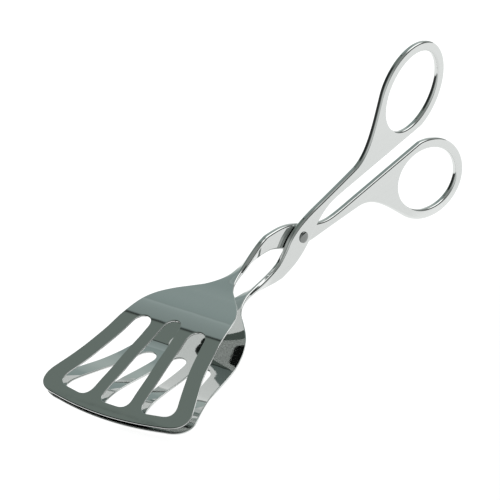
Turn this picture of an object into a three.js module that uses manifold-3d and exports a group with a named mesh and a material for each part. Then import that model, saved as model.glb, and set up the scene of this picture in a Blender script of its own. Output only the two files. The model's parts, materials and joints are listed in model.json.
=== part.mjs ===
// Scissor-action serving tongs: two stamped steel levers crossed on one rivet, each with a
// finger ring at one end and a slotted, gently bowled blade at the other.
// Lever frame, in millimetres: pivot at the origin, +X towards the finger rings,
// +Z up within the plane of the handles, Y along the rivet.
import * as THREE from "three";
import { mergeVertices } from "three/addons/utils/BufferGeometryUtils.js";
import Module from "manifold-3d";

const wasm = await Module();
wasm.setup();

// Sheet and rivet.
const PLATE = 3.0; // thickness of the handle
const LEVER_GAP = 0.3; // running gap between the two levers
const BLADE_THICKNESS = 1.2;
const SHANK_R = 2.0;
const HOLE_R = 2.05;
const HEAD_R = 2.6;
const HEAD_HEIGHT = 1.0;
const HEAD_GAP = 0.05; // play under each rivet head

// Finger ring: an oval leaning towards the back of the handle.
const RING = { x: 84.5, z: 24.3, a: 24.4, b: 18.7, lean: THREE.MathUtils.degToRad(26) };
const FINGER_HOLE = { a: 19.7, b: 14.1 };
const HANDLE_INNER_Z = 5.0; // straight inner edge, above the line between the handles

// The strip between pivot and blade turns a quarter turn between these distances from the pivot.
const TWIST_START = 16;
const TWIST_END = 49;
const STRIP_START = 14;
const STRIP_END = 60;

// Distance from the pivot against the strip's width.
const STRIP_WIDTH = [[14, 9.4], [20, 7.2], [27, 5.8], [34, 5.2], [41, 5.6], [47, 9], [52, 15.6], [56, 24.4], [60, 33]];
// Distance from the pivot against how far the sheet's middle lies below the lever's axis line.
const LOWER_DEPTH = [[14, 5.9], [20, 7.3], [27, 7.2], [42, 6.3], [58, 7], [67, 7.8], [75, 9.6], [82, 11],
  [91, 10.8], [100, 9.8], [111, 8.1], [121, 7.2], [129, 8.0], [137, 9.3]];
const UPPER_DEPTH = [[14, 5.9], [20, 7.3], [27, 7.0], [40, 5.1], [52, 5.4], [62, 6.3], [72, 7], [79, 6.8],
  [87, 5.6], [95, 3.4], [104, 1.3], [113, -1.2], [122, -3.4], [129, -5.4], [137, -7.0]];
// Distance from the pivot against the blade's half width, up to the front corner.
const BLADE_SIDE = [[50, 6], [56, 12.2], [62, 18.6], [68, 23.3], [75, 26.3], [85, 28.6], [95, 30.9],
  [105, 33.7], [114, 37.5], [122, 41.2]];
const BLADE_TIP = 137.5;
const BLADE_SHIFT = 0.85; // the blade's middle lies this much nearer to the other lever than the handle's
const BLADE_CORNER = 134.6; // distance from the pivot at which the bowed front edge begins
// Distance from the pivot to the inner ends of the slots.
const UPPER_SLOT_START = 83.8;
const LOWER_SLOT_START = 87.2;
const CUTTER_DEPTH = 60; // height of the solid that cuts the blade to its plan
const SHEET_HALF_WIDTH = 50; // wider than the blade, before it is cut to its outline

const CURVE_POINTS = 14; // per curve of an outline
const ROUND_SEGMENTS = 32; // of the bore and the rivet

const steel = new THREE.MeshStandardMaterial({ color: 0xc9ccca, roughness: 0.12, metalness: 1 });
const rivetSteel = new THREE.MeshStandardMaterial({ color: 0x9da09e, roughness: 0.18, metalness: 1 });

// A closed geometry as a manifold solid.
function solid(geometry) {
  const bare = geometry.index ? geometry.toNonIndexed() : geometry.clone();
  bare.deleteAttribute("normal");
  bare.deleteAttribute("uv");
  const merged = mergeVertices(bare, 1e-4);
  const mesh = new wasm.Mesh({
    numProp: 3,
    vertProperties: merged.attributes.position.array,
    triVerts: new Uint32Array(merged.index.array),
  });
  return new wasm.Manifold(mesh);
}

// A manifold solid as a three.js geometry, which carries no normals.
function geometryOf(manifold) {
  const { vertProperties, triVerts } = manifold.getMesh();
  const geometry = new THREE.BufferGeometry();
  geometry.setAttribute("position", new THREE.BufferAttribute(vertProperties, 3));
  geometry.setIndex(new THREE.BufferAttribute(triVerts, 1));
  return geometry;
}

// Smooth value at t through [position, value] pairs: a cubic with finite-difference slopes.
function smooth(pairs, t) {
  const last = pairs.length - 1;
  const i = THREE.MathUtils.clamp(pairs.findIndex(([x]) => x > t) - 1, 0, last - 1);
  const k = t >= pairs[last][0] ? last - 1 : i;
  const slope = (j) => {
    const [x0, v0] = pairs[Math.max(j - 1, 0)];
    const [x1, v1] = pairs[Math.min(j + 1, last)];
    return (v1 - v0) / (x1 - x0);
  };
  const [xa, va] = pairs[k];
  const [xb, vb] = pairs[k + 1];
  const h = xb - xa;
  const u = (t - xa) / h;
  const rise = va + (vb - va) * u * u * (3 - 2 * u);
  return rise + h * u * (1 - u) * (slope(k) * (1 - u) - slope(k + 1) * u);
}

// Point of an oval that leans with the finger ring, a and b being its half lengths.
function ovalPoint(a, b, angle) {
  const along = a * Math.cos(angle);
  const across = b * Math.sin(angle);
  const { x, z, lean } = RING;
  return new THREE.Vector2(
    x + along * Math.cos(lean) - across * Math.sin(lean),
    z + along * Math.sin(lean) + across * Math.cos(lean),
  );
}

// Outline of the flat handle in the X-Z plane, from the strip to the ring and back.
function handleOutline() {
  const ringFrom = Math.PI * 1.4; // where the straight inner edge runs into the oval
  const ringTo = Math.PI * 2.678; // where the oval leaves for the hollow of the shank
  const outline = new THREE.Shape();
  outline.moveTo(-STRIP_START - 3, -10.9);
  outline.splineThru([[-8, -9.5], [0, -6.3], [7, -1.8], [13, 1.8], [20, 4.3], [28, HANDLE_INNER_Z]]
    .map(([x, z]) => new THREE.Vector2(x, z)));
  outline.lineTo(72, HANDLE_INNER_Z);
  for (let i = 0; i <= 48; i++) {
    const p = ovalPoint(RING.a, RING.b, THREE.MathUtils.lerp(ringFrom, ringTo, i / 48));
    outline.lineTo(p.x, p.y);
  }
  outline.bezierCurveTo(57.5, 22.3, 50.5, 12, 40, 10.8);
  outline.splineThru([[30, 9.8], [18, 8.7], [8, 7.8], [0, 6.3], [-7, 3.6], [-12, 0], [-17, -3.1]]
    .map(([x, z]) => new THREE.Vector2(x, z)));
  const hole = new THREE.Path();
  const holePoints = Array.from({ length: 56 }, (_, i) =>
    ovalPoint(FINGER_HOLE.a, FINGER_HOLE.b, (-i / 56) * 2 * Math.PI));
  hole.setFromPoints(holePoints);
  outline.holes.push(hole);
  return outline;
}

// The flat handle, centred on the plane y = 0.
function handle() {
  const geometry = new THREE.ExtrudeGeometry(handleOutline(), {
    depth: PLATE,
    bevelEnabled: false,
    curveSegments: CURVE_POINTS,
  });
  geometry.translate(0, 0, -PLATE / 2);
  geometry.rotateX(Math.PI / 2);
  return solid(geometry);
}

// The strip that turns from the upright handle to the level blade, as a loft of rectangles.
function twistedStrip(depth) {
  const rows = 36;
  const positions = [];
  const index = [];
  const corners = 4;
  for (let i = 0; i <= rows; i++) {
    const d = THREE.MathUtils.lerp(STRIP_START, STRIP_END, i / rows);
    const turn = THREE.MathUtils.smoothstep(d, TWIST_START, TWIST_END) * (Math.PI / 2);
    const thin = THREE.MathUtils.smoothstep(d, TWIST_START + 14, STRIP_END - 1);
    const thickness = THREE.MathUtils.lerp(PLATE, BLADE_THICKNESS + 0.04, thin);
    const shift = BLADE_SHIFT * THREE.MathUtils.smoothstep(d, TWIST_START, TWIST_END);
    const halfWidth = smooth(STRIP_WIDTH, d) / 2;
    const half = thickness / 2;
    const section = [[halfWidth, -half], [halfWidth, half], [-halfWidth, half], [-halfWidth, -half]];
    for (const [across, out] of section) {
      positions.push(-d, shift - across * Math.sin(turn) - out * Math.cos(turn),
        -smooth(depth, d) + across * Math.cos(turn) - out * Math.sin(turn));
    }
  }
  for (let i = 0; i < rows; i++) {
    for (let j = 0; j < corners; j++) {
      const a = i * corners + j;
      const b = i * corners + ((j + 1) % corners);
      index.push(a, b + corners, b, a, a + corners, b + corners);
    }
  }
  const end = rows * corners;
  for (let j = 1; j < corners - 1; j++) {
    index.push(0, j, j + 1);
    index.push(end, end + j + 1, end + j);
  }
  const geometry = new THREE.BufferGeometry();
  geometry.setAttribute("position", new THREE.Float32BufferAttribute(positions, 3));
  geometry.setIndex(index);
  return solid(geometry);
}

// One long slot at each side, splayed with the blade; its rounded inner end reaches to d = start.
function sideSlot(side, start) {
  const slot = new THREE.Path();
  const x = -start - 4.7;
  slot.moveTo(x, side * 11.4);
  slot.lineTo(-124, side * 14.4);
  slot.quadraticCurveTo(-130.4, side * 15, -130.1, side * 20);
  slot.lineTo(-129, side * 27.5);
  slot.quadraticCurveTo(-128, side * 34.4, -121.8, side * 31.8);
  slot.bezierCurveTo(-111, side * 26.8, -100, side * 22.9, x, side * 20.8);
  slot.bezierCurveTo(x + 6.3, side * 20.1, x + 6.3, side * 11.6, x, side * 11.4);
  return slot;
}

function middleSlot(start) {
  const slot = new THREE.Path();
  const x = -start - 2.5;
  slot.moveTo(x, 4.3);
  slot.lineTo(-125.5, 7.9);
  slot.quadraticCurveTo(-131, 8.3, -131, 3);
  slot.lineTo(-131, -3);
  slot.quadraticCurveTo(-131, -8.3, -125.5, -7.9);
  slot.lineTo(x, -4.3);
  slot.bezierCurveTo(x + 6.4, -3.9, x + 6.4, 3.9, x, 4.3);
  return slot;
}

// Plan of the blade in the X-Y plane, with its three slots.
function bladePlan(slotStart) {
  const side = BLADE_SIDE.map(([d, y]) => new THREE.Vector2(-d, y));
  const mirrored = side.map(({ x, y }) => new THREE.Vector2(x, -y)).reverse();
  const plan = new THREE.Shape();
  plan.moveTo(side[0].x, side[0].y);
  plan.splineThru(side.slice(1));
  plan.bezierCurveTo(-129, 44.4, -133.6, 40.5, -BLADE_CORNER, 31);
  plan.quadraticCurveTo(-2 * BLADE_TIP + BLADE_CORNER, 0, -BLADE_CORNER, -31);
  plan.bezierCurveTo(-133.6, -40.5, -129, -44.4, -122, -41.2);
  plan.splineThru(mirrored.slice(1));
  plan.closePath();
  plan.holes.push(sideSlot(1, slotStart), sideSlot(-1, slotStart), middleSlot(slotStart));
  return plan;
}

// The blade: a bent sheet cut to the plan.
function blade(depth, slotStart) {
  const from = STRIP_END - 8;
  const steps = 42;
  const line = (offset) => Array.from({ length: steps + 1 }, (_, i) => {
    const d = THREE.MathUtils.lerp(from, BLADE_TIP + 1, i / steps);
    return new THREE.Vector2(-d, -smooth(depth, d) + offset);
  });
  const half = BLADE_THICKNESS / 2;
  const profile = new THREE.Shape([...line(half), ...line(-half).reverse()]);
  const sheet = new THREE.ExtrudeGeometry(profile, { depth: 2 * SHEET_HALF_WIDTH, bevelEnabled: false });
  sheet.translate(0, 0, -SHEET_HALF_WIDTH);
  sheet.rotateX(Math.PI / 2);
  const cutter = new THREE.ExtrudeGeometry(bladePlan(slotStart), {
    depth: CUTTER_DEPTH,
    bevelEnabled: false,
    curveSegments: CURVE_POINTS,
  });
  cutter.translate(0, BLADE_SHIFT, -CUTTER_DEPTH / 2);
  return solid(sheet).intersect(solid(cutter));
}

// One whole lever, centred on y = 0, its blade below the axis line and its ring above it.
function leverGeometry(depth, slotStart) {
  const bore = new THREE.CylinderGeometry(HOLE_R, HOLE_R, 4 * PLATE, ROUND_SEGMENTS);
  return geometryOf(handle().add(twistedStrip(depth)).add(blade(depth, slotStart)).subtract(solid(bore)));
}

// A rivet with a low dome at each end, turned about Y.
function rivetGeometry() {
  const seat = PLATE + LEVER_GAP / 2 + HEAD_GAP;
  const steps = 5;
  const upper = [new THREE.Vector2(SHANK_R, seat)];
  for (let i = 0; i <= steps; i++) {
    const angle = (1 - i / steps) * (Math.PI / 2);
    const radius = i === steps ? 0 : HEAD_R * Math.sin(angle);
    upper.push(new THREE.Vector2(radius, seat + HEAD_HEIGHT * Math.cos(angle)));
  }
  const lower = upper.map(({ x, y }) => new THREE.Vector2(x, -y)).reverse();
  return new THREE.LatheGeometry([...lower, ...upper], ROUND_SEGMENTS);
}

function part(name, geometry, material) {
  const mesh = new THREE.Mesh(geometry, material);
  mesh.name = name;
  return mesh;
}

// Lowest point of the tongs on one side of the pivot.
function lowest(group, onRingSide) {
  group.updateMatrixWorld(true);
  const pivotX = group.position.x;
  const v = new THREE.Vector3();
  let low = Infinity;
  group.traverse((mesh) => {
    const vertices = mesh.geometry?.attributes.position;
    for (let i = 0; vertices && i < vertices.count; i++) {
      v.fromBufferAttribute(vertices, i).applyMatrix4(mesh.matrixWorld);
      if (v.x > pivotX === onRingSide) low = Math.min(low, v.z);
    }
  });
  return low;
}

const leverOffset = (PLATE + LEVER_GAP) / 2;
const frontLever = part("front_lever", leverGeometry(LOWER_DEPTH, LOWER_SLOT_START), steel);
frontLever.position.y = -leverOffset;
const rearLever = part("rear_lever", leverGeometry(UPPER_DEPTH, UPPER_SLOT_START), steel);
rearLever.rotation.x = Math.PI;
rearLever.position.y = leverOffset;
const rivet = part("rivet", rivetGeometry(), rivetSteel);

const tongs = new THREE.Group();
tongs.add(frontLever, rearLever, rivet);

// Tilt the closed tongs until the lower blade and the lower ring touch one level surface.
let low = 0;
let high = THREE.MathUtils.degToRad(20);
for (let i = 0; i < 30; i++) {
  tongs.rotation.y = -(low + high) / 2;
  if (lowest(tongs, true) < lowest(tongs, false)) low = -tongs.rotation.y;
  else high = -tongs.rotation.y;
}
tongs.updateMatrixWorld(true);
const box = new THREE.Box3().setFromObject(tongs, true);
const centre = box.getCenter(new THREE.Vector3());
tongs.position.set(-centre.x, -centre.y, -box.min.z);

const standing = new THREE.Group();
standing.add(tongs);

export default standing;
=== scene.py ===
import json
import math

import bpy
import numpy as np
from mathutils import Matrix, Vector
from mathutils.geometry import delaunay_2d_cdt


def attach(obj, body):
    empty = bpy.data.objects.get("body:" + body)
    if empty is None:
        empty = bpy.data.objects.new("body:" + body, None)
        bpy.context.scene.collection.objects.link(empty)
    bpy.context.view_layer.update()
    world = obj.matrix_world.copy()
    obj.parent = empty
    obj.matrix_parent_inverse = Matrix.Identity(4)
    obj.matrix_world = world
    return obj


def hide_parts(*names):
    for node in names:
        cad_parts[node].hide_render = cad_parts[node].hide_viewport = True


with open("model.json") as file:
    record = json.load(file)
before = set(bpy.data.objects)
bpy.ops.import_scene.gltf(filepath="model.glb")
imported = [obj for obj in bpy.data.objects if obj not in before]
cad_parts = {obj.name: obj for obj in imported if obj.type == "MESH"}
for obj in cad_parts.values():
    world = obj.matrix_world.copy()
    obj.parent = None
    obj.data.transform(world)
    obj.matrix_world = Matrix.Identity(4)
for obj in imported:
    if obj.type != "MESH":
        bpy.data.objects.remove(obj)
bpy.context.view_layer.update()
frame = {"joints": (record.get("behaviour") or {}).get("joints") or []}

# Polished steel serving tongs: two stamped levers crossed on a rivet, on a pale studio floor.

MM = 0.001

# The lever frame has its origin on the rivet, +X towards the finger rings and +Z up in the
# plane of the handles. The closed tongs stand tilted by TILT about the rivet's direction.
TILT = math.radians(8.6607)
PIVOT = np.array(frame["joints"][0]["pos_m"])

# The shape's lengths are in millimetres. Those of the materials and the floor are in metres.

# Sheet and edges.
PLATE = 3.0
LEVER_GAP = 0.3
BLADE_THICKNESS = 1.2
HANDLE_ROUND = 1.15  # radius of the rounded edge on the handle
BLADE_ROUND = 0.4  # how far the rounded edge reaches in on the blade
BLADE_DROP = 1.25  # how much further the blade's rounding drops, before the sheet is thinned
HOLE_ROUND = 0.25  # radius of the rounded edge of the rivet's hole

# Rivet.
HOLE_R = 2.05
SHANK_R = 2.0
HEAD_R = 2.6
HEAD_HEIGHT = 1.0
HEAD_RIM = 0.22
HEAD_CLEARANCE = 0.05
DOME_STEPS = 14
RIVET_TURNS = 72
SHARP_ANGLE = math.radians(50)

# Finger ring: its centre, the half axes of its outside and of its hole, and its lean.
RING_X, RING_Z, RING_A, RING_B = 84.5, 24.3, 24.4, 18.7
HOLE_A, HOLE_B = 19.7, 14.1
RING_LEAN = math.radians(26)
HANDLE_INNER_Z = 5.0  # the straight stretch of the handle's inner edge
SHANK_FOOT = (40, 10.8)  # where the outer edge's curve from the ring meets the handle

# Distances from the pivot at which the twist, the thinning and the bent strip start and end.
TWIST_START, TWIST_END = 16.0, 49.0
THIN_START = 30.0
STRIP_START, STRIP_END = 14.0, 60.0
BLADE_SHIFT = 0.85  # how far the twist carries the blade across the tongs
BLADE_TIP = 137.5
FRONT_CORNER_X = 134.6
UPPER_SLOT_START, LOWER_SLOT_START = 83.8, 87.2

# Distance from the pivot against the strip's and blade's half width.
HALF_WIDTH = [(14, 4.7), (20, 3.6), (27, 2.9), (34, 2.6), (41, 2.8), (47, 4.5), (52, 7.8),
              (56, 12.2), (62, 18.6), (68, 23.3), (75, 26.3), (85, 28.6), (95, 30.9), (105, 33.7),
              (114, 37.5), (122, 41.2)]
# Distance from the pivot against the depth of the sheet's middle below the lever's axis line.
LOWER_DEPTH = [(14, 5.9), (20, 7.3), (27, 7.2), (42, 6.3), (58, 7), (67, 7.8), (75, 9.6), (82, 11),
               (91, 10.8), (100, 9.8), (111, 8.1), (121, 7.2), (129, 8.0), (137, 9.3)]
UPPER_DEPTH = [(14, 5.9), (20, 7.3), (27, 7.0), (40, 5.1), (52, 5.4), (62, 6.3), (72, 7), (79, 6.8),
               (87, 5.6), (95, 3.4), (104, 1.3), (113, -1.2), (122, -3.4), (129, -5.4), (137, -7.0)]

OUTLINE_STEP = 0.8  # spacing of the points along each edge
HOLE_STEP = 0.3  # the same along the rivet's hole
SHEET_STEP = 1.5  # spacing of the points inside the bent sheet
SHEET_REACH = 42  # how far they go to each side, enough to cover the blade
RIM_CLEARANCE = 0.5  # how far they stay from the edges
ROUND_STEPS = 5  # rows of points in each rounding, from the flat side to the edge's wall
INSET = 0.03  # keeps the smooth outline inside the box of the CAD's straight-edged one
SLOPE_STEP = 0.02  # half step of the slopes that carry the normals through the bend
MERGE_DISTANCE = 1e-6  # points closer than this would be merged in the triangles
OUTSIDE, RIVET_HOLE = 0, 2  # their places among the edges that blank_loops() returns


# ---------------------------------------------------------------- curves

def smooth(pairs, t):
    """Cubic through (position, value) pairs with finite-difference slopes."""
    xs = np.array([p[0] for p in pairs], float)
    vs = np.array([p[1] for p in pairs], float)
    t = np.asarray(t, float)
    last = len(xs) - 1
    before = np.maximum(np.arange(last + 1) - 1, 0)
    after = np.minimum(np.arange(last + 1) + 1, last)
    slope = (vs[after] - vs[before]) / (xs[after] - xs[before])
    k = np.clip(np.searchsorted(xs, t, side="right") - 1, 0, last - 1)
    h = xs[k + 1] - xs[k]
    u = (t - xs[k]) / h
    rise = vs[k] + (vs[k + 1] - vs[k]) * u * u * (3 - 2 * u)
    return rise + h * u * (1 - u) * (slope[k] * (1 - u) - slope[k + 1] * u)


def smoothstep(x, low, high):
    u = np.clip((np.asarray(x, float) - low) / (high - low), 0, 1)
    return u * u * (3 - 2 * u)


def spline(points, steps=16):
    """Catmull-Rom curve through the points, without its last point."""
    p = np.array(points, float)
    p = np.vstack([2 * p[0] - p[1], p, 2 * p[-1] - p[-2]])
    t = np.linspace(0, 1, steps, endpoint=False)[:, None]
    out = []
    for a, b, c, d in zip(p, p[1:], p[2:], p[3:]):
        out.append(0.5 * (2 * b + (c - a) * t + (2 * a - 5 * b + 4 * c - d) * t**2
                          + (3 * b - a - 3 * c + d) * t**3))
    return np.vstack(out)


def bezier(*points, steps=24):
    """Bezier curve of any degree, without its last point."""
    t = np.linspace(0, 1, steps, endpoint=False)[:, None]
    rows = [np.array(p, float) + 0 * t for p in points]
    while len(rows) > 1:
        rows = [a * (1 - t) + b * t for a, b in zip(rows, rows[1:])]
    return rows[0]


def oval(a, b, start, end, count):
    """Part of a leaning ellipse about the ring's centre, without its last point."""
    t = np.linspace(start, end, count, endpoint=False)
    along, across = a * np.cos(t), b * np.sin(t)
    c, s = math.cos(RING_LEAN), math.sin(RING_LEAN)
    return np.stack([RING_X + along * c - across * s, RING_Z + along * s + across * c], 1)


def circle(radius, count=72):
    t = np.linspace(0, 2 * math.pi, count, endpoint=False)
    return radius * np.stack([np.cos(t), np.sin(t)], 1)


def resample(loop, step):
    """Closed loop with evenly spaced points."""
    p = np.vstack([loop, loop[:1]])
    length = np.concatenate([[0], np.cumsum(np.linalg.norm(np.diff(p, axis=0), axis=1))])
    t = np.linspace(0, length[-1], max(16, round(length[-1] / step)), endpoint=False)
    return np.stack([np.interp(t, length, p[:, i]) for i in (0, 1)], 1)


# ---------------------------------------------------------------- the flat blank

def on_sheet(points, depth):
    """Moves points given as (x, across) so that across is counted from the sheet's middle line."""
    p = np.array(points, float)
    p[:, 1] -= smooth(depth, np.maximum(-p[:, 0], STRIP_START))
    return p


def blade_outline():
    """Edge of the strip and blade, from the twist round the tip and back, as (x, across)."""
    upper = spline([(-d, w) for d, w in HALF_WIDTH[1:]], 10)
    corner = [(-122, 41.2), (-129, 44.4), (-133.6, 40.5), (-FRONT_CORNER_X, 31)]
    mirrored = [(x, -across) for x, across in reversed(corner)]
    middle = (FRONT_CORNER_X - 2 * BLADE_TIP, 0)
    return np.vstack([
        upper,
        bezier(*corner),
        bezier(corner[-1], middle, mirrored[0], steps=60),
        bezier(*mirrored),
        mirrored[-1:],
        upper[::-1] * [1, -1],
    ])


def blank_outline(depth):
    """Outside edge of the whole lever."""
    blade = on_sheet(blade_outline(), depth)
    into_handle = spline([tuple(blade[-1]), (-17, -11.0), (-8, -9.5), (0, -6.3), (7, -1.8), (13, 1.8),
                          (20, 4.3), (28, HANDLE_INNER_Z), (40, HANDLE_INNER_Z)])
    ring = oval(RING_A, RING_B, math.pi * 1.4, math.pi * 2.678, 220)
    shank = bezier(tuple(ring[-1]), (57.5, 22.3), (50.5, 12), SHANK_FOOT)
    over_pivot = spline([SHANK_FOOT, (30, 9.8), (18, 8.7), (8, 7.8), (0, 6.3), (-7, 3.6), (-12, 0),
                         (-17, -2.9), tuple(blade[0])])
    return np.vstack([blade, into_handle[1:], ring, shank[1:], over_pivot])


def side_slot(sign, start):
    """Outer slot on the side that sign gives, its inner end at the start's distance."""
    x = -start - 4.7
    return np.vstack([
        bezier((x, 11.4), (-124, 14.4)),
        bezier((-124, 14.4), (-130.4, 15), (-130.1, 20)),
        bezier((-130.1, 20), (-129, 27.5)),
        bezier((-129, 27.5), (-128, 34.4), (-121.8, 31.8)),
        bezier((-121.8, 31.8), (-111, 26.8), (-100, 22.9), (x, 20.8)),
        bezier((x, 20.8), (x + 6.3, 20.1), (x + 6.3, 11.6), (x, 11.4)),
    ]) * [1, sign]


def middle_slot(start):
    """Slot in the middle, its inner end 2.3 nearer the pivot than the outer slots'."""
    x = -start - 2.5
    return np.vstack([
        bezier((x, 4.3), (-125.5, 7.9)),
        bezier((-125.5, 7.9), (-131, 8.3), (-131, 3)),
        bezier((-131, 3), (-131, -3)),
        bezier((-131, -3), (-131, -8.3), (-125.5, -7.9)),
        bezier((-125.5, -7.9), (x, -4.3)),
        bezier((x, -4.3), (x + 6.4, -3.9), (x + 6.4, 3.9), (x, 4.3)),
    ])


def blank_loops(depth, slot_start):
    """Closed edges of the flat blank: the outside, the ring's hole, the rivet's hole, the slots."""
    loops = [
        blank_outline(depth),
        oval(HOLE_A, HOLE_B, 0, 2 * math.pi, 200),
        circle(HOLE_R),
        on_sheet(side_slot(1, slot_start), depth),
        on_sheet(side_slot(-1, slot_start), depth),
        on_sheet(middle_slot(slot_start), depth),
    ]
    steps = [HOLE_STEP if i == RIVET_HOLE else OUTLINE_STEP for i in range(len(loops))]
    return [resample(loop, step) for loop, step in zip(loops, steps)]


# ---------------------------------------------------------------- solid sheet with rounded edges

def bend(points, depth):
    """Blank coordinates (x, z, out) to the lever frame: the strip twists and the blade bows."""
    x, z, out = points.T
    d = np.maximum(-x, STRIP_START)
    inside = -x < STRIP_START
    middle = -smooth(depth, d)
    turn = smoothstep(d, TWIST_START, TWIST_END) * (math.pi / 2)
    thin = smoothstep(d, THIN_START, STRIP_END - 1)
    ratio = 1 + (BLADE_THICKNESS / PLATE - 1) * thin
    shift = BLADE_SHIFT * smoothstep(d, TWIST_START, TWIST_END)
    across = z - middle
    bent = np.stack([x, shift - across * np.sin(turn) - out * ratio * np.cos(turn),
                     middle + across * np.cos(turn) - out * ratio * np.sin(turn)], 1)
    flat = np.stack([x, -out, z], 1)
    return np.where(inside[:, None], flat, bent)


def bent_normals(points, normals, depth):
    """Carries surface directions through bend() with its Jacobian's cofactors."""
    step = SLOPE_STEP * np.eye(3)
    a, b, c = [(bend(points + s, depth) - bend(points - s, depth)) / (2 * SLOPE_STEP) for s in step]
    n = normals[:, :1] * np.cross(b, c) + normals[:, 1:2] * np.cross(c, a) + normals[:, 2:] * np.cross(a, b)
    n *= np.sign(np.einsum("ij,ij->i", a, np.cross(b, c)))[:, None]
    return n / np.linalg.norm(n, axis=1)[:, None]


def outward(loop, material_inside):
    """Unit directions out of the material at each point of a closed loop."""
    tangent = np.roll(loop, -1, 0) - np.roll(loop, 1, 0)
    tangent /= np.linalg.norm(tangent, axis=1)[:, None]
    normal = np.stack([tangent[:, 1], -tangent[:, 0]], 1)
    x, z = loop.T
    area = 0.5 * np.sum(x * np.roll(z, -1) - np.roll(x, -1) * z)
    return normal if (area > 0) == material_inside else -normal


def inside_loop(points, loop):
    x, z = points[:, 0][:, None], points[:, 1][:, None]
    x0, z0 = loop[:, 0][None], loop[:, 1][None]
    x1, z1 = np.roll(x0, -1, 1), np.roll(z0, -1, 1)
    crosses = ((z0 > z) != (z1 > z)) & (x < (x1 - x0) * (z - z0) / (z1 - z0 + 1e-12) + x0)
    return crosses.sum(1) % 2 == 1


def on_material(points, rims):
    """Which points lie inside the first rim and outside all the others."""
    found = inside_loop(points, rims[0])
    for hole in rims[1:]:
        found &= ~inside_loop(points, hole)
    return found


def sheet_points(rims, depth):
    """Staggered points over the part of the flat side that bends, clear of the rims."""
    rows = []
    for row, x in enumerate(np.arange(-BLADE_TIP, -STRIP_START, SHEET_STEP)):
        across = np.arange(-SHEET_REACH, SHEET_REACH, 2 * SHEET_STEP) + SHEET_STEP * (row % 2)
        rows.append(on_sheet(np.stack([np.full_like(across, x), across], 1), depth))
    grid = np.vstack(rows)
    grid = grid[on_material(grid, rims)]
    rim_points = np.vstack(rims)
    nearest = np.array([np.min(np.sum((rim_points - point) ** 2, 1)) for point in grid])
    return grid[nearest > RIM_CLEARANCE**2]


def cap_triangles(rims, depth):
    """Points inside the flat side, and the side's triangles over the rims' points and those."""
    grid = sheet_points(rims, depth)
    everything = np.vstack(rims + [grid])
    edges = []
    first = 0
    for rim in rims:
        count = len(rim)
        edges += [(first + i, first + (i + 1) % count) for i in range(count)]
        first += count
    corners = [Vector(point) for point in everything.tolist()]
    result = delaunay_2d_cdt(corners, edges, [], 0, MERGE_DISTANCE)
    placed, triangles, origins = result[0], result[2], result[3]
    if len(placed) != len(everything):
        raise RuntimeError("the sheet's outline crosses itself")
    order = np.array([origin[0] for origin in origins])
    triangles = order[np.array([tuple(triangle) for triangle in triangles])]
    return grid, triangles[on_material(everything[triangles].mean(1), rims)]


def edge_size(loop, is_rivet_hole):
    """How far the rounded edge reaches in, and how far it drops, at each point of a loop."""
    if is_rivet_hole:
        even = np.full(len(loop), HOLE_ROUND)
        return even, even
    blade_share = smoothstep(-loop[:, 0], THIN_START, STRIP_END)
    reach = HANDLE_ROUND + (BLADE_ROUND - HANDLE_ROUND) * blade_share
    drop = HANDLE_ROUND * (BLADE_DROP * blade_share + 1 - blade_share)
    return reach, drop


def rounded_edge(loop, is_outside, is_rivet_hole):
    """Rows of points and normals round one edge, and the rim that the flat side starts from."""
    out_dir = outward(loop, is_outside)
    reach, drop = edge_size(loop, is_rivet_hole)
    quarter = np.linspace(math.pi / 2, 0, ROUND_STEPS)
    points, normals = [], []
    for side, angles in ((1, quarter), (-1, quarter[::-1])):
        for angle in angles:
            inset = INSET + reach * (1 - math.cos(angle))
            level = side * (PLATE / 2 - drop * (1 - math.sin(angle)))
            facing = np.full(len(loop), side * math.sin(angle))
            points.append(np.column_stack([loop - out_dir * inset[:, None], level]))
            normals.append(np.column_stack([out_dir * math.cos(angle), facing]))
    return points, normals, loop - out_dir * (reach + INSET)[:, None]


def edge_faces(first, rows, count):
    """Quads between the neighbouring rows of points round one edge."""
    here = np.arange(count)
    after = (here + 1) % count
    faces = []
    for row in range(rows - 1):
        a, b = first + row * count + here, first + row * count + after
        faces.append(np.column_stack([a, b, b + count, a + count]))
    return faces


def lever_arrays(depth, slot_start):
    """Vertices, normals and faces of one lever in its own frame, centred on the handle's plane."""
    points, normals, faces, rims = [], [], [], []
    top_index, underside_index = [], []
    first = 0
    for i, loop in enumerate(blank_loops(depth, slot_start)):
        edge_points, edge_normals, rim = rounded_edge(loop, i == OUTSIDE, i == RIVET_HOLE)
        rows, count = len(edge_points), len(loop)
        points += edge_points
        normals += edge_normals
        faces += edge_faces(first, rows, count)
        rims.append(rim)
        top_index.append(first + np.arange(count))
        underside_index.append(first + (rows - 1) * count + np.arange(count))
        first += rows * count

    grid, triangles = cap_triangles(rims, depth)
    for rim_index, side in ((top_index, 1), (underside_index, -1)):
        index = np.concatenate(rim_index + [first + np.arange(len(grid))])
        points.append(np.column_stack([grid, np.full(len(grid), side * PLATE / 2)]))
        normals.append(np.tile([0.0, 0.0, side], (len(grid), 1)))
        faces.append(index[triangles])
        first += len(grid)
    points, normals = np.vstack(points), np.vstack(normals)
    return bend(points, depth), bent_normals(points, normals, depth), faces


# ---------------------------------------------------------------- objects

def to_row(points, offset_y=0.0, turned=False):
    """Lever frame to the row's directions; a turned lever is flipped over about its length."""
    p = points * ([1, -1, -1] if turned else [1, 1, 1]) + [0, offset_y, 0]
    c, s = math.cos(TILT), math.sin(TILT)
    return np.column_stack([p[:, 0] * c - p[:, 2] * s, p[:, 1], p[:, 0] * s + p[:, 2] * c])


def add_object(name, mesh):
    obj = bpy.data.objects.new(name, mesh)
    bpy.context.scene.collection.objects.link(obj)
    return obj


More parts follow.
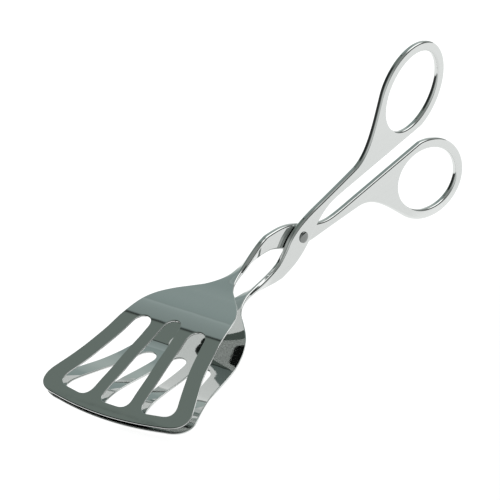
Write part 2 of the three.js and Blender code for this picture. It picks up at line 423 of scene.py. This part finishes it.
def oriented(points, normals, faces):
    """The faces, each wound so that it faces the way its first point's normal does."""
    draft = bpy.data.meshes.new("draft")
    draft.from_pydata(points.tolist(), [], faces)
    facing = np.array([polygon.normal for polygon in draft.polygons])
    bpy.data.meshes.remove(draft)
    first = np.array([face[0] for face in faces])
    upright = np.einsum("ij,ij->i", facing, normals[first]) >= 0
    return [face if ok else face[::-1] for face, ok in zip(faces, upright)]


def make_lever(name, depth, slot_start, turned):
    points, normals, groups = lever_arrays(depth, slot_start)
    offset = (PLATE + LEVER_GAP) / 2 * (1 if turned else -1)
    placed = to_row(points, offset, turned) * MM + PIVOT
    normals = to_row(normals, 0, turned)
    faces = [tuple(face) for group in groups for face in group.tolist()]
    mesh = bpy.data.meshes.new(name)
    mesh.from_pydata(placed.tolist(), [], oriented(placed, normals, faces))
    mesh.update()
    mesh.shade_smooth()
    mesh.normals_split_custom_set_from_vertices(normals.tolist())
    return add_object(name, mesh)


def rivet_outline():
    """(radius, y) along the rivet's surface, from one dome's top to the other's."""
    seat = PLATE + LEVER_GAP / 2 + HEAD_CLEARANCE
    rim = seat + HEAD_RIM
    angles = np.linspace(0, math.pi / 2, DOME_STEPS)
    dome = [(math.sin(a) * HEAD_R, rim + (HEAD_HEIGHT - HEAD_RIM) * math.cos(a)) for a in angles]
    half = dome + [(HEAD_R, seat), (SHANK_R, seat)]
    return [(r, -y) for r, y in half] + half[::-1]


def rivet_faces(rows, turns):
    """Quads between rows of points round the rivet, then a fan over each dome's top point."""
    faces = []
    for row in range(rows - 1):
        for j in range(turns):
            a, b = row * turns + j, row * turns + (j + 1) % turns
            faces.append((a + turns, b + turns, b, a))
    low, high, last_row = rows * turns, rows * turns + 1, (rows - 1) * turns
    for j in range(turns):
        after = (j + 1) % turns
        faces.append((low, j, after))
        faces.append((high, last_row + after, last_row + j))
    return faces


def make_rivet(name):
    """Shank with a low dome at each end."""
    outline = rivet_outline()
    angle = np.linspace(0, 2 * math.pi, RIVET_TURNS, endpoint=False)
    c, s = np.cos(angle), np.sin(angle)
    rows = [np.column_stack([r * c, np.full(RIVET_TURNS, y), r * s]) for r, y in outline[1:-1]]
    tops = [[0, outline[0][1], 0], [0, outline[-1][1], 0]]
    points = np.vstack(rows + [tops])
    mesh = bpy.data.meshes.new(name)
    mesh.from_pydata((to_row(points) * MM + PIVOT).tolist(), [], rivet_faces(len(rows), RIVET_TURNS))
    mesh.update()
    mesh.shade_smooth()
    obj = add_object(name, mesh)
    edge = obj.modifiers.new("split", "EDGE_SPLIT")
    edge.split_angle = SHARP_ANGLE
    return obj


# ---------------------------------------------------------------- shader nodes

def map_range(tree, value, source, target=(0, 1), kind="SMOOTHSTEP"):
    """A value mapped from the source span to the target span and held at its ends."""
    node = tree.nodes.new("ShaderNodeMapRange")
    node.interpolation_type = kind
    for name, number in zip(("From Min", "From Max", "To Min", "To Max"), (*source, *target)):
        node.inputs[name].default_value = number
    tree.links.new(value, node.inputs["Value"])
    return node.outputs["Result"]


def blend(tree, share, low, high):
    """Colour going from low to high with the share. Each is a colour or a node's output."""
    node = tree.nodes.new("ShaderNodeMix")
    node.data_type = "RGBA"
    tree.links.new(share, node.inputs["Factor"])
    for name, colour in (("A", low), ("B", high)):
        if isinstance(colour, tuple):
            node.inputs[name].default_value = (*colour, 1)
        else:
            tree.links.new(colour, node.inputs[name])
    return node.outputs["Result"]


def noise(tree, vector, scale, detail):
    node = tree.nodes.new("ShaderNodeTexNoise")
    node.inputs["Scale"].default_value = scale
    node.inputs["Detail"].default_value = detail
    tree.links.new(vector, node.inputs["Vector"])
    return node.outputs["Fac"]


def bump(tree, height, strength, distance):
    node = tree.nodes.new("ShaderNodeBump")
    node.inputs["Strength"].default_value = strength
    node.inputs["Distance"].default_value = distance
    tree.links.new(height, node.inputs["Height"])
    return node


# ---------------------------------------------------------------- materials

LEVER_STEEL = (0.655, 0.67, 0.66)
LEVER_ROUGHNESS = 0.03
LEVER_SCRATCH = 0.08
# The rivet is the levers' steel with a much darker colour: painted shade, standing in for the dark
# reflections on its dome.
RIVET_STEEL_PAINTED_DARK = (0.24, 0.25, 0.245)
RIVET_ROUGHNESS = 0.05
RIVET_SCRATCH = 0.15
SMEAR_SCALE = 38
LINE_SCALE = (60, 1400, 1400)  # polishing lines, long in X
LINE_HEIGHT = 0.00002
SWELL_SCALE = 90
SWELL_HEIGHT = 0.000025
FLOOR_GREY = (0.3, 0.3, 0.3, 1)
FLOOR_GLOW = ((0.03, 0.2), (0.89, 0.97))  # a span of X, and the glow at its two ends
GLOW_BEHIND = ((-0.012, -0.002), (1.0, 1.12))  # a span of Y, and what multiplies the glow there


def polished_steel(name, colour, roughness, scratch):
    """Mirror-polished stainless steel with faint polishing lines, smears and slight waviness."""
    material = bpy.data.materials.new(name)
    material.use_nodes = True
    tree = material.node_tree
    shader = tree.nodes["Principled BSDF"]
    shader.inputs["Metallic"].default_value = 1.0
    position = tree.nodes.new("ShaderNodeTexCoord").outputs["Object"]
    stretch = tree.nodes.new("ShaderNodeMapping")
    stretch.inputs["Scale"].default_value = LINE_SCALE
    tree.links.new(position, stretch.inputs["Vector"])
    smears = noise(tree, position, SMEAR_SCALE, 4)
    lines = noise(tree, stretch.outputs["Vector"], 1, 3)
    swell = noise(tree, position, SWELL_SCALE, 1)

    rough = map_range(tree, smears, (0.3, 0.7), (roughness * 0.7, roughness * 1.5), "LINEAR")
    tree.links.new(rough, shader.inputs["Roughness"])
    darker = tuple(0.96 * c for c in colour)
    tree.links.new(blend(tree, lines, darker, colour), shader.inputs["Base Color"])
    waviness = bump(tree, swell, 1.0, SWELL_HEIGHT)
    scratches = bump(tree, lines, scratch, LINE_HEIGHT)
    tree.links.new(waviness.outputs["Normal"], scratches.inputs["Normal"])
    tree.links.new(scratches.outputs["Normal"], shader.inputs["Normal"])
    return material


def pale_floor_material():
    """White floor, a little brighter on the rings' side and from under the tongs backwards."""
    material = bpy.data.materials.new("pale_floor")
    material.use_nodes = True
    tree = material.node_tree
    shader = tree.nodes["Principled BSDF"]
    shader.inputs["Base Color"].default_value = FLOOR_GREY
    shader.inputs["Roughness"].default_value = 1.0
    shader.inputs["Specular IOR Level"].default_value = 0.0
    shader.inputs["Emission Color"].default_value = (1, 1, 1, 1)
    position = tree.nodes.new("ShaderNodeTexCoord")
    split = tree.nodes.new("ShaderNodeSeparateXYZ")
    tree.links.new(position.outputs["Object"], split.inputs["Vector"])
    along = map_range(tree, split.outputs["X"], *FLOOR_GLOW, "LINEAR")
    behind = map_range(tree, split.outputs["Y"], *GLOW_BEHIND)
    glow = tree.nodes.new("ShaderNodeMath")
    glow.operation = "MULTIPLY"
    tree.links.new(along, glow.inputs[0])
    tree.links.new(behind, glow.inputs[1])
    tree.links.new(glow.outputs["Value"], shader.inputs["Emission Strength"])
    return material


# ---------------------------------------------------------------- studio

# Radiance of the wall behind the tongs against the angle over the tongs, in degrees: 0 is
# straight up and 90 is level on the rings' side. Each stop has its own grey-green.
WALL = [
    (-90, (0.05, 0.05, 0.05)), (-30, (0.025, 0.03, 0.028)), (-12, (0.03, 0.036, 0.033)),
    (-5, (0.15, 0.18, 0.165)), (-2, (0.19, 0.228, 0.208)), (15.2, (0.19, 0.228, 0.208)),
    (16.0, (0.05, 0.06, 0.055)), (17.2, (0.04, 0.05, 0.046)), (18.0, (0.275, 0.33, 0.32)),
    (32, (0.335, 0.40, 0.39)), (35.2, (0.38, 0.45, 0.44)), (36.2, (0.295, 0.355, 0.345)),
    (38, (0.305, 0.375, 0.365)), (48, (0.335, 0.405, 0.395)), (51, (0.44, 0.51, 0.49)),
    (56, (0.49, 0.56, 0.54)), (90, (0.7, 0.74, 0.73)),
]
HORIZON = (0.95, 0.95, 0.95)
HORIZON_HEIGHTS = (0.01, 0.10)  # direction's Z over which the wall takes over from the horizon
WALL_EDGE = (0.02, 0.42)  # direction's Y over which the room gives way to the wall
ROOM = (0.30, 0.32, 0.31)
# Round patches in the room in front: direction, inner and outer radius in degrees, radiance.
ROOM_PATCHES = [
    ((-0.6, -0.7, 0.35), 15, 40, (0.7, 0.72, 0.71)),
    ((0.62, -0.74, 0.15), 14, 30, (0.06, 0.065, 0.062)),
    ((0.62, -0.26, 0.74), 14, 24, (1.7, 1.72, 1.71)),
]

FLOOR_SIZE = 6.0  # half the floor's width, in metres

# The picture's directions to the right and up, in the lever frame, and its middle along each of
# them from the rivet. The rest is its width and the camera's distance.
CAMERA_RIGHT = np.array([1.42324, -1.69081, -0.44278])
CAMERA_UP = np.array([1.20273, 0.53311, 1.83023])
MIDDLE_RIGHT, MIDDLE_UP = -21.4, -6.39
FIELD_WIDTH = 221.4
CAMERA_DISTANCE = 8.0  # metres
SENSOR_WIDTH = 36


def wall_radiance(tree, split):
    """Colour ramp over the angle of a direction about the tongs' width."""
    angle = tree.nodes.new("ShaderNodeMath")
    angle.operation = "ARCTAN2"
    tree.links.new(split.outputs["X"], angle.inputs[0])
    tree.links.new(split.outputs["Z"], angle.inputs[1])
    place = map_range(tree, angle.outputs["Value"], (-math.pi / 2, math.pi / 2), kind="LINEAR")
    ramp = tree.nodes.new("ShaderNodeValToRGB")
    tree.links.new(place, ramp.inputs["Fac"])
    elements = ramp.color_ramp.elements
    while len(elements) < len(WALL):
        elements.new(0.5)
    for element, (degrees, colour) in zip(elements, WALL):
        element.position = (degrees + 90) / 180
        element.color = (*colour, 1)
    return ramp.outputs["Color"]


def round_patch(tree, direction, surroundings, centre, inner, outer, colour):
    """Lays a soft-edged round patch over its surroundings."""
    dot = tree.nodes.new("ShaderNodeVectorMath")
    dot.operation = "DOT_PRODUCT"
    dot.inputs[1].default_value = Vector(centre).normalized()
    tree.links.new(direction, dot.inputs[0])
    edges = (math.cos(math.radians(outer)), math.cos(math.radians(inner)))
    return blend(tree, map_range(tree, dot.outputs["Value"], edges), surroundings, colour)


def studio_world():
    """Soft studio surroundings, set by direction: a banded wall behind, a grey room in front."""
    world = bpy.data.worlds.new("studio")
    bpy.context.scene.world = world
    world.use_nodes = True
    tree = world.node_tree
    direction = tree.nodes.new("ShaderNodeTexCoord").outputs["Generated"]
    split = tree.nodes.new("ShaderNodeSeparateXYZ")
    tree.links.new(direction, split.inputs["Vector"])

    room = ROOM
    for patch in ROOM_PATCHES:
        room = round_patch(tree, direction, room, *patch)
    above = map_range(tree, split.outputs["Z"], HORIZON_HEIGHTS)
    wall = blend(tree, above, HORIZON, wall_radiance(tree, split))
    behind = map_range(tree, split.outputs["Y"], WALL_EDGE)
    tree.links.new(blend(tree, behind, room, wall), tree.nodes["Background"].inputs["Color"])


def floor():
    size = FLOOR_SIZE
    corners = [(-size, -size, 0), (size, -size, 0), (size, size, 0), (-size, size, 0)]
    mesh = bpy.data.meshes.new("floor")
    mesh.from_pydata(corners, [], [(0, 1, 2, 3)])
    mesh.materials.append(pale_floor_material())
    add_object("floor", mesh)


def camera():
    """Long lens, in front of the tongs on the blades' side and above them."""
    right = to_row(CAMERA_RIGHT[None] / np.linalg.norm(CAMERA_RIGHT))[0]
    up = to_row(CAMERA_UP[None] / np.linalg.norm(CAMERA_UP))[0]
    back = np.cross(right, up)
    target = PIVOT + (MIDDLE_RIGHT * right + MIDDLE_UP * up) * MM
    data = bpy.data.cameras.new("camera")
    data.sensor_width = SENSOR_WIDTH
    data.lens = SENSOR_WIDTH * CAMERA_DISTANCE / (FIELD_WIDTH * MM)
    data.clip_end = 100
    obj = add_object("camera", data)
    turn = Matrix([list(row) for row in np.column_stack([right, up, back])])
    obj.matrix_world = Matrix.Translation(Vector(target + back * CAMERA_DISTANCE)) @ turn.to_4x4()
    bpy.context.scene.camera = obj


# ---------------------------------------------------------------- the tongs

def levers():
    steel = polished_steel("lever_polished_steel", LEVER_STEEL, LEVER_ROUGHNESS, LEVER_SCRATCH)
    for name, node, depth, start, turned, body in (
        ("front_lever_sheet", "front_lever", LOWER_DEPTH, LOWER_SLOT_START, False, "front"),
        ("rear_lever_sheet", "rear_lever", UPPER_DEPTH, UPPER_SLOT_START, True, "rear"),
    ):
        lever = make_lever(name, depth, start, turned)
        lever.data.materials.append(steel)
        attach(lever, body)
        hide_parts(node)


def rivet():
    piece = make_rivet("domed_rivet")
    # A darker copy of the levers' steel: the rivet's dome is given painted shade.
    steel = polished_steel("rivet_steel_painted_dark", RIVET_STEEL_PAINTED_DARK, RIVET_ROUGHNESS, RIVET_SCRATCH)
    piece.data.materials.append(steel)
    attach(piece, "front")
    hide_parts("rivet")


levers()
rivet()
floor()
studio_world()
camera()
bpy.context.scene.view_settings.view_transform = "Standard"
